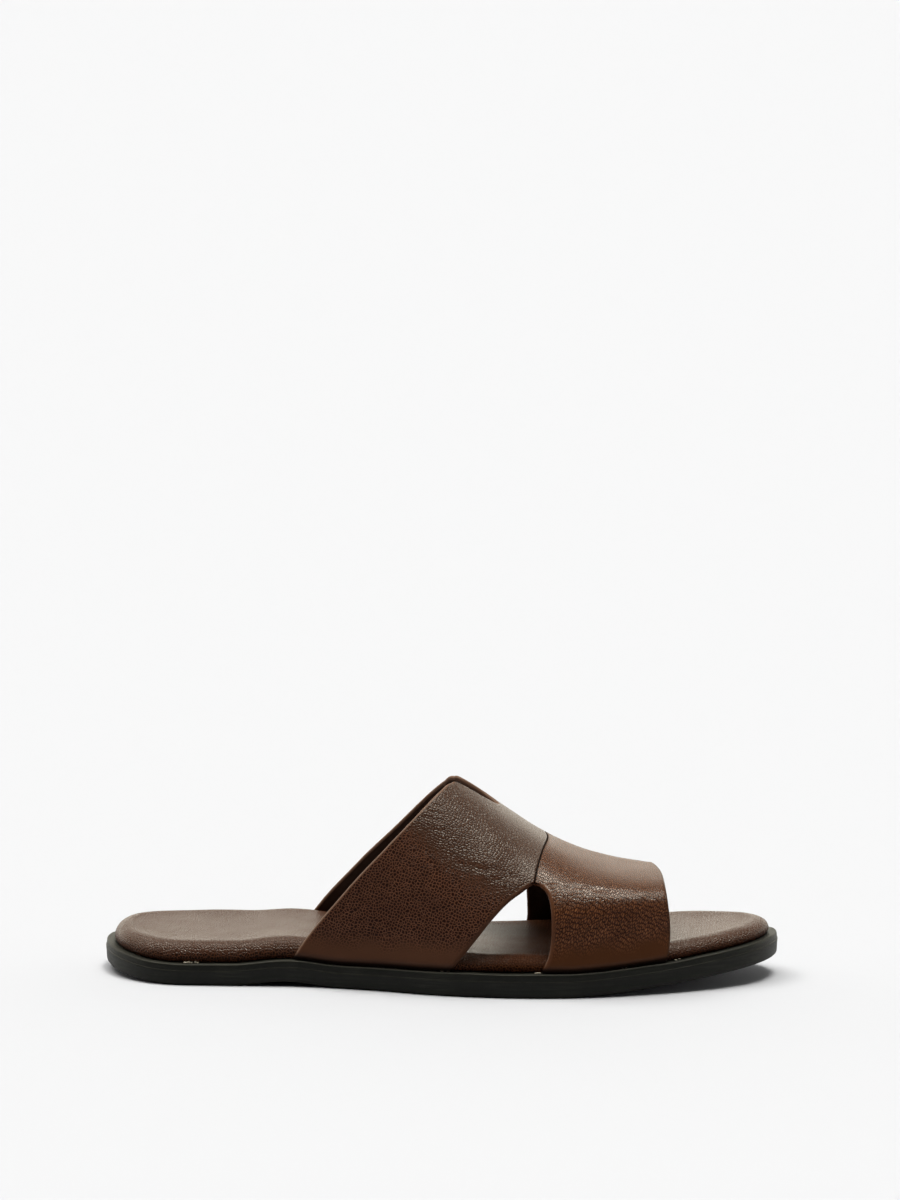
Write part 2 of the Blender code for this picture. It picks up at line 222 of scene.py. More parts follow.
TOE_EDGE = table(
    "girth x",
    (-1.00, 244.2),
    (-0.85, 245.1),
    (-0.70, 244.7),
    (-0.60, 243.8),
    (-0.50, 243.0),
    (-0.40, 242.3),
    (-0.12, 239.9),
    (0.12, 236.4),
    (0.40, 234.0),
    (0.70, 234.0),
    (1.00, 235.0),
)

# Cut-outs: drop is the share of the way from the cut-out's top to the rim, then x from the seam
LATERAL_CUT_TOP = 0.538
LATERAL_CUT = table(
    "drop rear front",
    (0.00, -0.1, 0.1),
    (0.05, -2.3, 3.4),
    (0.12, -4.9, 5.7),
    (0.25, -10.1, 7.4),
    (0.45, -16.4, 8.2),
    (0.65, -22.3, 8.0),
    (0.85, -28.5, 6.7),
    (1.00, -33.5, 4.2),
)
MEDIAL_CUT_TOP = 0.54
MEDIAL_CUT = table(
    "drop rear front",
    (0.00, -0.1, 0.1),
    (0.05, -2.4, 3.8),
    (0.12, -4.8, 6.2),
    (0.25, -9.4, 7.6),
    (0.45, -15.0, 8.2),
    (0.65, -20.0, 8.2),
    (0.85, -25.0, 7.8),
    (1.00, -29.0, 6.8),
)
OPEN_DROP = 0.02

# Rounded strap edges: radii at the sewn seam, smooth borders beside the free edges, and the base; the
# seam's groove and the strap's foot are darkened with painted shade
SEAM_GAP = 0.15
SEAM_OUTER_ROUND = 0.8
SEAM_INNER_ROUND = 0.15
# Painted shade: how far the dark of the seam's groove reaches onto each strap
SEAM_SHADE_REACH = 0.55
COLLAR_BORDER = 0.55
CUT_BORDER = 1.35
TOE_BORDER = 0.70
BORDER_SOFT = 0.6
BORDER_GROOVE_AT = 2.1
BORDER_GROOVE_WIDTH = 0.6
BORDER_GROOVE_DEPTH = 0.14
RELIEF_FADE = 3.0
BASE_BAND_FULL = 4.5
BASE_BAND_END = 15.5
BASE_BAND_WAVE = 1.3
BASE_BAND_WAVE_LENGTH = 11.0
BASE_BAND_SEED = 9
BASE_BAND_SMOOTH = 0.9
BASE_TUCK = 1.0
BASE_TUCK_HEIGHT = 2.6
# Painted shade along the strap's foot: full below the first height, gone past the second
BASE_SHADE_FULL = 0.9
BASE_SHADE_END = 2.6
EDGE_PROBE = 0.5
LEAST_ACROSS = 0.35

# Creases of the straps, each from one place to another by x and girth, with its width and depth
REAR_CREASES = table(
    "x_from girth_from x_to girth_to width depth",
    (140.0, -0.272, 149.0, -0.300, 0.8, 0.20),
    (139.5, -0.312, 147.0, -0.335, 0.8, 0.22),
    (137.5, -0.346, 150.0, -0.362, 0.9, 0.20),
    (152.0, -0.515, 170.0, -0.540, 1.4, 0.16),
    (163.0, -0.523, 180.0, -0.514, 1.2, 0.18),
    (168.0, -0.560, 183.0, -0.525, 1.2, 0.16),
    (140.0, 0.300, 149.0, 0.330, 0.9, 0.18),
    (150.0, 0.520, 166.0, 0.535, 1.3, 0.16),
)
FRONT_CREASES = table(
    "x_from girth_from x_to girth_to width depth",
    (196.0, -0.560, 222.0, -0.566, 1.3, 0.16),
    (202.0, -0.610, 236.0, -0.585, 1.4, 0.14),
    (190.0, 0.560, 220.0, 0.570, 1.3, 0.15),
)
STRAP_RIPPLE = 0.05
STRAP_RIPPLE_LENGTH = 19.0

# Every crease sways by shares of its width, fades at its ends and has a low ridge on either side
CREASE_SWAY = 0.35
CREASE_SWAY_LENGTH = 1.9
CREASE_FADE = 0.3
CREASE_RIDGE_AT = 2.0
CREASE_RIDGE = 0.45

# Soft waves: how many lie over each other, and their lengths as shares of the one asked for
RIPPLE_WAVES = 7
RIPPLE_LENGTHS = (0.6, 1.5)

# Seam thread: its stitches cross the seam at a lean, and none of them lies along STITCH_ACROSS
STITCH_PITCH = 0.8
STITCH_REACH = 0.75
STITCH_RADIUS = 0.15
STITCH_DEPTH = 0.42
STITCH_LEAN = 0.25
STITCH_MIDDLE = 0.55
STITCH_MARGIN = 0.006
STITCH_ACROSS = np.array([0.3, 0.5, 0.81])

# Dried glue left along the joint of footbed and sole: place, length along it, height and number of specks
GLUE = table(
    "x length height count",
    (42.5, 8.5, 0.55, 9),
    (151.5, 3.0, 0.35, 4),
    (190.8, 2.4, 0.40, 4),
    (227.5, 3.6, 0.30, 4),
    (248.6, 2.0, 0.30, 3),
)
GLUE_SEED = 11
GLUE_OUT = 0.5
GLUE_SPREAD = (-0.5, 0.3)
GLUE_TALL = (0.4, 1.0)
GLUE_LIFT = 0.4
GLUE_LONG = (0.3, 0.9)
GLUE_WIDE = (0.25, 0.5)
GLUE_UNEVEN = (0.75, 1.2)

# Mesh fineness
PLAN_POINTS = 640
SIDE_LOOKUP_POINTS = 2048
SECTION_STEPS = 720
LAST_FROM = 74.0
LAST_TO = 256.0
LAST_STEP = 0.5
LAST_GIRTHS = 801
GRID_STOP = 1.001
FOOTBED_TUCK_STEPS = 4
FOOTBED_EDGE_STEPS = 18
FOOTBED_ACROSS = 40
LEG_COLUMNS = 90
LEG_CROWDING = 1.7
CROWN_COLUMNS = 46
NOTCH_GIRTH = 0.12
NOTCH_COLUMNS = 33
ROLL_STEPS = 5
SEAM_LOOKUP_POINTS = 400
STITCH_POINTS = 7
STITCH_SIDES = 6
SPECK_RINGS = 5
SPECK_SIDES = 8
SMOOTH_UP_TO = math.radians(50)

# The photograph's camera: angles, distance, and the pixel where the target lies
IMAGE_WIDTH = 900
IMAGE_HEIGHT = 1200
CAMERA_AZIMUTH = math.radians(5.0)
CAMERA_ELEVATION = math.radians(11.0)
CAMERA_DISTANCE = 2.2
CAMERA_TARGET = Vector((0.0, 0.0, 0.030))
TARGET_PIXEL = (439.2, 903.5)
PIXELS_PER_MM = 2.324
SENSOR_WIDTH = 36.0


def hermite(at, value, x):
    """Smooth curve through the points (at, value), read at x."""
    slope = np.gradient(value, at)
    x = np.clip(x, at[0], at[-1])
    i = np.clip(np.searchsorted(at, x, side="right") - 1, 0, len(at) - 2)
    span = at[i + 1] - at[i]
    t = (x - at[i]) / span
    start = value[i] * (1 + 2 * t) + slope[i] * span * t
    end = value[i + 1] * (3 - 2 * t) - slope[i + 1] * span * (1 - t)
    return start * (1 - t) ** 2 + end * t ** 2


def column(rows, name):
    """One column of a table as an array."""
    return np.array([getattr(row, name) for row in rows])


def read_table(rows, name, x, key="x"):
    """Smooth value of a table column at places along its key column."""
    return hermite(column(rows, key), column(rows, name), x)


def smooth_step(t):
    t = np.clip(t, 0.0, 1.0)
    return t * t * (3 - 2 * t)


def bell(distance, width):
    """1 at no distance, falling softly to nothing over a few widths."""
    return np.exp(-(distance / width) ** 2)


def unit(vectors):
    """The vectors at length one."""
    return vectors / np.linalg.norm(vectors, axis=-1)[..., None]


def length_along(*coordinates):
    """Length along a line to each of its points."""
    steps = np.sqrt(sum(np.diff(values) ** 2 for values in coordinates))
    return np.concatenate([[0.0], np.cumsum(steps)])


def ripple(a, b, wave_length, seed):
    """Soft uneven waves over a surface, about 1 high."""
    random = np.random.default_rng(seed)
    total = np.zeros_like(a)
    for _ in range(RIPPLE_WAVES):
        turn = random.uniform(0, math.pi)
        step = math.tau / (wave_length * random.uniform(*RIPPLE_LENGTHS))
        total += np.sin((a * math.cos(turn) + b * math.sin(turn)) * step + random.uniform(0, math.tau))
    return total / math.sqrt(RIPPLE_WAVES)


def plan_angle(x):
    """Angle round the plan, 0 at the heel tip and pi at the toe tip."""
    return np.arccos(1 - 2 * np.asarray(x) / SOLE_LENGTH)


def plan_y(angle):
    """Sideways place of the plan's edge, the lateral side first."""
    rows = plan_angle(column(SOLE_PLAN, "x"))
    at = np.concatenate([[0.0], rows, [math.pi], math.tau - rows[::-1]])
    value = np.concatenate([
        [HEEL_TIP_Y], column(SOLE_PLAN, "lateral"), [TOE_TIP_Y], column(SOLE_PLAN, "medial")[::-1]])
    at = np.concatenate([at[-2:] - math.tau, at, at[:3] + math.tau])
    value = np.concatenate([value[-2:], value, value[:3]])
    return hermite(at, value, np.mod(angle, math.tau))


def plan_ring(inset, count=PLAN_POINTS):
    """Points round the plan moved inwards, from the heel tip by the lateral side to the toe."""
    angle = np.arange(count) * math.tau / count
    step = 0.001
    along_x = SOLE_LENGTH / 2 * np.sin(angle)
    along_y = (plan_y(angle + step) - plan_y(angle - step)) / (2 * step)
    length = np.hypot(along_x, along_y)
    x = SOLE_LENGTH / 2 * (1 - np.cos(angle)) - inset * along_y / length
    y = plan_y(angle) + inset * along_x / length
    return x, y


def plan_sides(inset, x):
    """Lateral and medial y of the inset plan at x."""
    ring_x, ring_y = plan_ring(inset, SIDE_LOOKUP_POINTS)
    half = SIDE_LOOKUP_POINTS // 2
    lateral = np.interp(x, ring_x[:half + 1], ring_y[:half + 1])
    back = np.append(np.arange(half, SIDE_LOOKUP_POINTS), 0)[::-1]
    medial = np.interp(x, ring_x[back], ring_y[back])
    return lateral, medial


def sole_bottom(x):
    heel = HEEL_SPRING * np.clip(1 - x / HEEL_SPRING_LENGTH, 0, 1) ** 2
    arch = ARCH_LIFT * np.sin(math.pi * np.clip((x - ARCH_START) / ARCH_LENGTH, 0, 1)) ** 2
    ahead = np.clip((x - BALL_LINE) / (SOLE_LENGTH - BALL_LINE), 0, 1)
    return heel + arch + TOE_SPRING * ahead ** TOE_SPRING_POWER


def sole_thickness(x):
    return read_table(SOLE_THICKNESS, "thickness", x)


def sole_top(x):
    return sole_bottom(x) + sole_thickness(x)


def footbed_height(x, y):
    """Height of the footbed's upper face above the rim."""
    lateral, medial = plan_sides(RIM_WIDTH, x)
    half = np.maximum((medial - lateral) / 2, FOOTBED_EDGE_ROUND)
    across = np.clip((y - (lateral + medial) / 2) / half, -1, 1)
    low, middle, high = (read_table(FOOTBED, name, x) for name in ("lateral", "middle", "medial"))
    cup = FOOTBED_CUP * bell(x - FOOTBED_CUP_AT, FOOTBED_CUP_LENGTH) * (1 - across ** 2)
    return middle + (high - low) / 2 * across + ((high + low) / 2 - middle) * across ** 2 - cup


def last_half(x, wall, power, upright, side, shares):
    """One half of the last's section at x: its points at shares of the half's girth, and its length."""
    ridge_y = read_table(LAST, "ridge_y", x)
    base = sole_top(x) + PIECE_GAP
    rise = read_table(LAST, "ridge_z", x) - base
    turn = math.pi / 2 * np.linspace(0, 1, SECTION_STEPS + 1) ** (upright / 2)
    z = base + rise * np.sin(turn) ** (2 / upright)
    inward = np.clip(np.cos(turn), 0, 1) ** (2 / power)
    flare = STRAP_FLARE * (1 - smooth_step((z - base) / STRAP_FLARE_HEIGHT))
    y = ridge_y + (wall - ridge_y) * inward + side * flare
    length = length_along(y, z)
    goal = (1 - np.abs(shares)) * length[-1]
    places = (np.full_like(goal, x), np.interp(goal, length, y), np.interp(goal, length, z))
    return np.stack(places, axis=1), length[-1]


class Last:
    """The inside of the upper, read from a fine grid of x and girth."""

    def __init__(self):
        self.x = np.arange(LAST_FROM, LAST_TO + LAST_STEP / 2, LAST_STEP)
        self.girth = np.linspace(-1, 1, LAST_GIRTHS)
        lateral, medial = plan_sides(RIM_WIDTH - PIECE_GAP + STRAP_FLARE, self.x)
        fullness = ("lateral_power", "lateral_upright", "medial_power")
        power, upright, far_power = (read_table(LAST, name, self.x) for name in fullness)
        outer = self.girth < 0
        rows = []
        lengths = []
        for k, x in enumerate(self.x):
            near, near_length = last_half(x, lateral[k], power[k], upright[k], -1, self.girth[outer])
            far, far_length = last_half(x, medial[k], far_power[k], far_power[k], 1, self.girth[~outer])
            rows.append(np.concatenate([near, far]))
            lengths.append(np.where(outer, near_length, far_length))
        self.grid = np.stack(rows)
        self.lengths = np.stack(lengths)[:, :, None]
        along = np.gradient(self.grid, self.x, axis=0)
        around = np.gradient(self.grid, self.girth, axis=1)
        self.normals = unit(np.cross(along, around))

    def read(self, values, x, girth):
        """Values of a grid between its points, kept just short of its last ones."""
        a = np.clip((x - LAST_FROM) / LAST_STEP, 0, len(self.x) - GRID_STOP)
        b = np.clip((girth + 1) / 2 * (LAST_GIRTHS - 1), 0, LAST_GIRTHS - GRID_STOP)
        i = a.astype(int)
        j = b.astype(int)
        u = (a - i)[..., None]
        v = (b - j)[..., None]
        low = values[i, j] * (1 - v) + values[i, j + 1] * v
        high = values[i + 1, j] * (1 - v) + values[i + 1, j + 1] * v
        return low * (1 - u) + high * u

    def point(self, x, girth):
        return self.read(self.grid, x, girth)

    def outside(self, x, girth, depth):
        """Points some millimetres outside the surface."""
        return self.point(x, girth) + unit(self.read(self.normals, x, girth)) * depth

    def arc(self, x, girth):
        """Millimetres round the section from the ridge, the lateral side negative."""
        return girth * self.read(self.lengths, x, girth)[..., 0]

    def above_base(self, x, girth):
        """Millimetres up the section from the rim."""
        return (1 - np.abs(girth)) * self.read(self.lengths, x, girth)[..., 0]


def edge_x(rows, girth):
    """x of a strap edge or seam at a share of the girth."""
    return read_table(rows, "x", girth, key="girth")


def cut_edges(girth):
    """x of the rear strap's front edge and of the front strap's rear edge, and how free they are."""
    seam = edge_x(SEAM, girth)
    rear = seam - SEAM_GAP / 2
    front = seam + SEAM_GAP / 2
    free = np.zeros_like(girth)
    sides = ((girth < 0, LATERAL_CUT, LATERAL_CUT_TOP), (girth > 0, MEDIAL_CUT, MEDIAL_CUT_TOP))
    for side, rows, top in sides:
        drop = (np.abs(girth) - top) / (1 - top)
        open_here = side & (drop > 0)
        root = np.sqrt(np.clip(drop, 0, 1))
        at = np.sqrt(column(rows, "drop"))
        rear = np.where(open_here, seam + hermite(at, column(rows, "rear"), root), rear)
        front = np.where(open_here, seam + hermite(at, column(rows, "front"), root), front)
        free = np.where(side, smooth_step(drop / OPEN_DROP), free)
    return rear, front, free


def girth_columns():
    """Shares of the girth at the mesh columns, closer together at the tops of the cut-outs."""
    leg = np.linspace(0, 1, LEG_COLUMNS + 1) ** LEG_CROWDING
    lateral_leg = -LATERAL_CUT_TOP - (1 - LATERAL_CUT_TOP) * leg[::-1]
    medial_leg = MEDIAL_CUT_TOP + (1 - MEDIAL_CUT_TOP) * leg
    crown = np.concatenate([
        np.linspace(-LATERAL_CUT_TOP, -NOTCH_GIRTH, CROWN_COLUMNS)[1:],
        np.linspace(-NOTCH_GIRTH, NOTCH_GIRTH, 2 * NOTCH_COLUMNS + 1)[1:],
        np.linspace(NOTCH_GIRTH, MEDIAL_CUT_TOP, CROWN_COLUMNS)[1:-1],
    ])
    return np.concatenate([lateral_leg, crown, medial_leg])


def new_object(name, data):
    """Object in the scene for a mesh or a camera."""
    thing = bpy.data.objects.new(name, data)
    bpy.context.scene.collection.objects.link(thing)
    return thing


def mesh_object(name, points, faces, materials, face_materials=None):
    """Smooth mesh object from points in millimetres."""
    middle = np.array([SOLE_LENGTH / 2, 0.0, 0.0])
    mesh = bpy.data.meshes.new(name)
    mesh.from_pydata(((np.asarray(points) - middle) * MM).tolist(), [], faces)
    for material in materials:
        mesh.materials.append(material)
    if face_materials is not None:
        mesh.polygons.foreach_set("material_index", np.asarray(face_materials, np.int32))
    mesh.shade_smooth()
    mesh.set_sharp_from_angle(angle=SMOOTH_UP_TO)
    return new_object(name, mesh)


def set_attribute(thing, name, values, kind="FLOAT", field="value"):
    """A value for each point of a mesh, for its material to read."""
    attribute = thing.data.attributes.new(name, kind, "POINT")
    attribute.data.foreach_set(field, np.asarray(values, np.float32).ravel())


def set_flat(thing, flat):
    """The place of each point of a mesh on its flat leather."""
    set_attribute(thing, "flat", np.pad(flat, ((0, 0), (0, 1))), "FLOAT_VECTOR", "vector")


def lay_flat(grid):
    """Places of a curved sheet's points once it is spread flat, in its own units."""
    columns, rows = grid.shape[:2]
    index = np.arange(columns * rows).reshape(columns, rows)
    corner_sets = [index[:-1, :-1], index[:-1, 1:], index[1:, 1:], index[1:, :-1]]
    quads = np.stack(corner_sets, axis=-1).reshape(-1, 4)
    mesh = bpy.data.meshes.new("spread")
    mesh.from_pydata(grid.reshape(-1, 3).tolist(), [], quads.tolist())
    mesh.uv_layers.new(name="flat")
    sheet = new_object("spread", mesh)
    bpy.context.view_layer.objects.active = sheet
    bpy.ops.object.mode_set(mode="EDIT")
    bpy.ops.mesh.select_all(action="SELECT")
    bpy.ops.uv.unwrap(method="CONFORMAL", margin=0.0)
    bpy.ops.object.mode_set(mode="OBJECT")
    corners = np.empty(len(mesh.loops) * 2, np.float32)
    mesh.uv_layers["flat"].data.foreach_get("uv", corners)
    owners = np.empty(len(mesh.loops), np.int32)
    mesh.loops.foreach_get("vertex_index", owners)
    bpy.data.objects.remove(sheet)
    bpy.data.meshes.remove(mesh)
    flat = np.zeros((columns * rows, 2))
    flat[owners] = corners.reshape(-1, 2)
    flat = flat.reshape(columns, rows, 2)
    real = np.linalg.norm(np.diff(grid, axis=1), axis=2).sum()
    flat *= real / np.linalg.norm(np.diff(flat, axis=1), axis=2).sum()
    return flat


def ring_faces(ring_count, size, start=0):
    """Quads between neighbouring rings of points, facing away from the rings' middle."""
    faces = []
    for ring in range(ring_count - 1):
        low = start + ring * size
        for k in range(size):
            after = (k + 1) % size
            faces.append((low + k, low + after, low + size + after, low + size + k))
    return faces


def cap_faces(start, size, upward):
    """Strips across a ring, from its heel tip to its toe tip."""
    half = size // 2
    faces = [(start, start + 1, start + size - 1)]
    for k in range(1, half - 1):
        faces.append((start + k, start + k + 1, start + size - k - 1, start + size - k))
    faces.append((start + half - 1, start + half, start + half + 1))
    if upward:
        return faces
    return [face[::-1] for face in faces]


# Materials

NOISE_MIDDLE = (0.5, 0.5, 0.5)


class Nodes:
    """Short calls for making a shader's nodes."""

    def __init__(self, tree):
        self.tree = tree
        tree.nodes.clear()

    def add(self, kind, values=None, **settings):
        node = self.tree.nodes.new("ShaderNode" + kind)
        for name, value in settings.items():
            setattr(node, name, value)
        for name, value in (values or {}).items():
            if isinstance(value, bpy.types.NodeSocket):
                self.tree.links.new(value, node.inputs[name])
            else:
                opaque_colour = node.inputs[name].type == "RGBA"
                node.inputs[name].default_value = (*value, 1.0) if opaque_colour else value
        return node

    def math(self, operation, a, b):
        return self.add("Math", {0: a, 1: b}, operation=operation).outputs[0]

    def ramp(self, value, low, high, to_low=0.0, to_high=1.0):
        """Soft step of a value between two limits."""
        return self.add("MapRange", {
            "Value": value, "From Min": low, "From Max": high, "To Min": to_low, "To Max": to_high,
        }, interpolation_type="SMOOTHSTEP").outputs["Result"]

    def blend(self, factor, a, b):
        """Colour between a and b."""
        return self.add("Mix", {0: factor, 6: a, 7: b}, data_type="RGBA").outputs[2]

    def noise(self, vector, scale, detail=2.0, output="Fac"):
        return self.add("TexNoise", {"Vector": vector, "Scale": scale, "Detail": detail}).outputs[output]

    def attribute(self, name):
        return self.add("Attribute", attribute_name=name).outputs["Fac"]

    def vector(self, operation, a, b):
        """Sum, difference, product or dot product of two vectors."""
        node = self.add("VectorMath", {0: a, 1: b}, operation=operation)
        return node.outputs["Value" if operation == "DOT_PRODUCT" else "Vector"]

    def millimetres(self):
        """Place on the object in millimetres."""
        return self.vector("MULTIPLY", self.add("TexCoord").outputs["Object"], (1 / MM,) * 3)

    def warped(self, place, scale, amount):
        """Place moved about by soft noise, so that what is drawn there is uneven."""
        offset = self.vector("SUBTRACT", self.noise(place, scale, detail=1.0, output="Color"), NOISE_MIDDLE)
        return self.vector("ADD", place, self.vector("MULTIPLY", offset, (amount,) * 3))

    def bump(self, height, depth):
        """Normal of a surface with relief of a depth in millimetres."""
        relief = {"Height": height, "Distance": depth * MM, "Strength": 1.0}
        return self.add("Bump", relief).outputs["Normal"]

    def finish(self, shader):
        self.add("OutputMaterial", {"Surface": shader.outputs["BSDF"]})


def new_material(name):
    material = bpy.data.materials.new(name)
    material.use_nodes = True
    return material, Nodes(material.node_tree)


# Leather: colours of the cells, of the net between them and of a painted lit copy for faces turned up, then
# grain and coat
LeatherLook = namedtuple(
    "LeatherLook",
    "dark inside between burnished cell net_reach stretch turn depth wrinkle wrinkle_size"
    " specular coat coat_on_top coat_roughness border edge band dulled",
    defaults=(None, None, None, False))
REAR_LEATHER = LeatherLook(
    dark=(0.018, 0.0034, 0.0008), inside=(0.018, 0.0034, 0.0008),
    between=(0.182, 0.0775, 0.0425), burnished=(0.064, 0.0300, 0.0170),
    cell=1.28, net_reach=0.24, stretch=(1.0, 1.0, 1.0), turn=0.0,
    depth=0.12, wrinkle=1.6, wrinkle_size=(4.1, 2.2, 1.0),
    specular=0.03, coat=0.48, coat_on_top=1.0, coat_roughness=0.31,
    border=(0.060, 0.0240, 0.0125), edge=(0.140, 0.0780, 0.0540), band=(0.078, 0.0330, 0.0180))
FRONT_LEATHER = LeatherLook(
    dark=(0.016, 0.0026, 0.0004), inside=(0.218, 0.0830, 0.0350),
    between=(0.014, 0.0024, 0.0005), burnished=(0.132, 0.0570, 0.0295),
    cell=0.96, net_reach=0.34, stretch=(1.95, 0.82, 1.0), turn=math.radians(74),
    depth=0.12, wrinkle=0.8, wrinkle_size=(4.1, 2.2, 1.0),
    specular=0.03, coat=0.56, coat_on_top=0.42, coat_roughness=0.24,
    border=(0.095, 0.0370, 0.0180), edge=(0.045, 0.0190, 0.0100), band=(0.072, 0.0260, 0.0100))
FOOTBED_LEATHER = LeatherLook(
    dark=(0.036, 0.0135, 0.0070), inside=(0.014, 0.0030, 0.0006),
    between=(0.098, 0.0350, 0.0155), burnished=(0.058, 0.0235, 0.0130),
    cell=1.20, net_reach=0.24, stretch=(1.0, 1.25, 1.0), turn=0.0,
    depth=0.17, wrinkle=1.8, wrinkle_size=(3.0, 6.0, 1.0),
    specular=0.05, coat=0.33, coat_on_top=1.0, coat_roughness=0.24, dulled=True)
# Painted shade, nearly black: the seam's groove and the strap's foot at the rim
SEAM_AND_FOOT_SHADE = (0.006, 0.0028, 0.0018)

# What all three leathers share: unevenness of the grain, pores, patches, and where the coat shines
CELL_RANDOMNESS = 0.85
CELL_WARP = 0.9
CELL_WARP_SCALE = 0.4
VALLEY_REACH = 0.42
VALLEY_POWER = 2.0
PORE_SCALE = 2.2
PORE_HEIGHT = 0.15
PATCH_SCALE = 0.09
PATCH_RANGE = (0.25, 0.75)
PATCH_GRAIN = (0.8, 1.15)
MOTTLE_RANGE = (0.2, 0.8)
MOTTLE = 0.25
SPECKLE_RANGE = (0.2, 1.0)
SPECKLE = 0.30
INSIDE_ROUGHNESS = 0.60
NET_ROUGHNESS = 0.45
COAT_ON_WALLS = 0.20
COAT_WALL_UP = 0.05
COAT_FULL_UP = 0.58
COAT_TOP_FROM = 0.78
COAT_TOP_TO = 0.93
EDGE_DULL = 0.7
# Painted light: faces whose normal points this far up take the lit copy of the leather
LIT_TOP_FROM = 0.32
LIT_TOP_TO = 0.52


def leather(name, look):
    """Grained leather: cells parted by a net, pores, soft wrinkles, smooth borders and a glossy coat, with
    light and shade painted into its colour by the way each face turns.
    """
    material, nodes = new_material(name)
    place = nodes.millimetres()
    grain = nodes.attribute("grain")
    seam = nodes.attribute("seam")
    up = nodes.add("SeparateXYZ", {"Vector": nodes.add("NewGeometry").outputs["Normal"]}).outputs["Z"]
    flat = nodes.add("Attribute", attribute_name="flat").outputs["Vector"]
    drawn = {"Vector": flat, "Rotation": (0.0, 0.0, look.turn), "Scale": look.stretch}
    laid = nodes.add("Mapping", drawn, vector_type="TEXTURE").outputs["Vector"]
    uneven = nodes.warped(laid, CELL_WARP_SCALE, CELL_WARP)
    cells = {"Vector": uneven, "Scale": 1 / look.cell, "Randomness": CELL_RANDOMNESS}
    rim = nodes.add("TexVoronoi", cells, feature="DISTANCE_TO_EDGE", voronoi_dimensions="2D")
    own = nodes.add("TexVoronoi", cells, feature="F1", voronoi_dimensions="2D").outputs["Color"]
    net = nodes.ramp(rim.outputs["Distance"], 0.0, look.net_reach, 1.0, 0.0)
    slope = nodes.ramp(rim.outputs["Distance"], 0.0, VALLEY_REACH, 1.0, 0.0)
    valley = nodes.math("POWER", slope, VALLEY_POWER)

    pores = nodes.noise(place, PORE_SCALE)
    patches = nodes.noise(place, PATCH_SCALE)
    strength = nodes.math("MULTIPLY", grain, nodes.ramp(patches, *PATCH_RANGE, *PATCH_GRAIN))
    relief = nodes.math("MULTIPLY", valley, strength)
    along = nodes.add("Mapping", {"Vector": flat, "Scale": look.wrinkle_size}, vector_type="TEXTURE")
    wrinkles = nodes.noise(along.outputs["Vector"], scale=1.0, detail=1.0)
    soft = nodes.math("MULTIPLY", nodes.math("MULTIPLY", wrinkles, look.wrinkle), grain)
    raised = nodes.math("ADD", nodes.math("MULTIPLY", pores, PORE_HEIGHT), soft)
    normal = nodes.bump(nodes.math("SUBTRACT", raised, relief), look.depth)

    colour = nodes.blend(net, look.inside, look.between)
    colour = nodes.blend(nodes.ramp(patches, *MOTTLE_RANGE, 0.0, MOTTLE), colour, look.dark)
    colour = nodes.blend(nodes.ramp(own, *SPECKLE_RANGE, 0.0, SPECKLE), colour, look.dark)
    # Painted light and shade: faces turned up take a lighter, greyer lit copy with dark valleys round the
    # cells, and the walls keep dark pits, partly the grain's own colour and partly painted shade
    burnished = nodes.blend(net, look.burnished, look.dark)
    colour = nodes.blend(nodes.ramp(up, LIT_TOP_FROM, LIT_TOP_TO), colour, burnished)
    for field, tint in (("band", look.band), ("border", look.border), ("edge", look.edge)):
        if tint:
            colour = nodes.blend(nodes.attribute(field), colour, tint)
    # Painted shade in the seam's groove and along the strap's foot, carried by the seam attribute
    colour = nodes.blend(seam, colour, SEAM_AND_FOOT_SHADE)

    gloss = nodes.ramp(up, COAT_WALL_UP, COAT_FULL_UP, look.coat * COAT_ON_WALLS, look.coat)
    for share in (
        nodes.ramp(up, COAT_TOP_FROM, COAT_TOP_TO, 1.0, look.coat_on_top),
        nodes.ramp(seam, 0.0, 1.0, 1.0, 0.0),
        nodes.ramp(nodes.attribute("edge"), 0.0, 1.0, 1.0, 1 - EDGE_DULL),
    ):
        gloss = nodes.math("MULTIPLY", gloss, share)
    specular = look.specular
    if look.dulled:
        shine = nodes.ramp(nodes.attribute("dull"), 0.0, 1.0, 1.0, 0.0)
        specular = nodes.math("MULTIPLY", shine, specular)
        gloss = nodes.math("MULTIPLY", shine, gloss)
    nodes.finish(nodes.add("BsdfPrincipled", {
        "Base Color": colour,
        "Roughness": nodes.ramp(net, 0.0, 1.0, INSIDE_ROUGHNESS, NET_ROUGHNESS),
        "Normal": normal,
        "Specular IOR Level": specular,
        "Coat Weight": gloss,
        "Coat Roughness": look.coat_roughness,
        "Coat Normal": normal,
    }))
    return material


# Plain materials: colours, then scale and depth of the fine relief, roughness and specular level
LINING, RUBBER, THREAD, DRIED_GLUE = table(
    "dark light scale detail depth smoothest roughest specular",
    ((0.034, 0.0170, 0.0108), (0.058, 0.0295, 0.0185), 1.8, 3.0, 0.05, 0.50, 0.62, 0.20),
    ((0.0074, 0.0077, 0.0056), (0.0165, 0.0170, 0.0126), 2.2, 3.0, 0.06, 0.46, 0.60, 0.18),
    ((0.012, 0.0055, 0.0035), (0.030, 0.0140, 0.0090), 5.0, 1.0, 0.05, 0.45, 0.65, 0.08),
    ((0.20, 0.17, 0.13), (0.52, 0.47, 0.40), 1.6, 2.0, 0.15, 0.25, 0.45, 0.50),
)
FINE_RANGE = (0.3, 0.7)
LINING_PATCH_SCALE = 0.12
BLOOM_PATCH_SCALE = 0.07
BLOOM_PATCH_RANGE = (0.35, 0.75)
BLOOM_STREAKS = (0.06, 0.06, 1.1)
BLOOM_STREAK_RANGE = (0.35, 0.7)


def lining_patches(nodes, place):
    """Large soft patches of the lining's lighter colour."""
    return nodes.noise(place, LINING_PATCH_SCALE)


